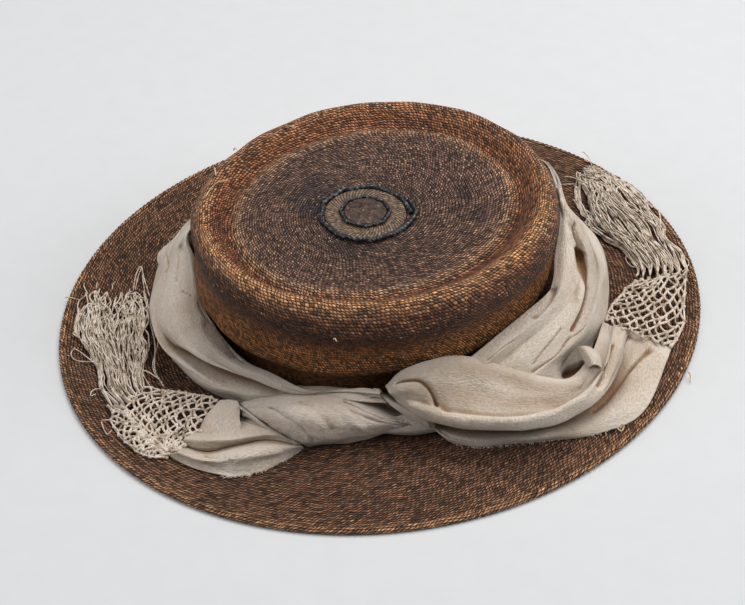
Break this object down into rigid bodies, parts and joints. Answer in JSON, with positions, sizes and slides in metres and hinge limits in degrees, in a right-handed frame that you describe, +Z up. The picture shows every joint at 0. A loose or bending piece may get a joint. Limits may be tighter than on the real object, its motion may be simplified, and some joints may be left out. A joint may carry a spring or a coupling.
{
  "type": "cabbage-tree straw hat with knotted scarf",
  "caption": "Low-crowned straw hat with a wide flat oval brim, a rolled crown rim, a corded round patch on top and a knotted scarf with netted, fringed ends.",
  "frame": {"origin": "on the flat underside of the brim, at the middle of the brim's oval", "axes": "+Z up through the crown; +Y along the long axis of the brim's oval; the scarf is knotted towards +X and -Y"},
  "size_m": [0.3786, 0.419, 0.089],
  "materials": {
    "crown_straw": "woven straw plait, weathered reddish brown",
    "brim_straw": "woven straw plait, dark brown",
    "patch_plait": "stitched straw, tan brown",
    "patch_centre": "mottled brown straw",
    "dark_cord": "blue-black twisted cord",
    "scarf_cloth": "thin ivory crepe cloth",
    "net_thread": "knotted cream thread",
    "fringe_thread": "loose cream thread"
  },
  "bodies": {
    "root": {"crown": "crown_straw", "brim": "brim_straw", "patch_ring": "patch_plait", "patch_centre": "patch_centre", "outer_cord": "dark_cord", "inner_cord": "dark_cord", "scarf_band": "scarf_cloth", "scarf_twist": "scarf_cloth", "scarf_tail_right": "scarf_cloth", "scarf_tail_left": "scarf_cloth", "net_right": "net_thread", "net_left": "net_thread", "fringe_right": "fringe_thread", "fringe_left": "fringe_thread"}
  },
  "joints": []
}
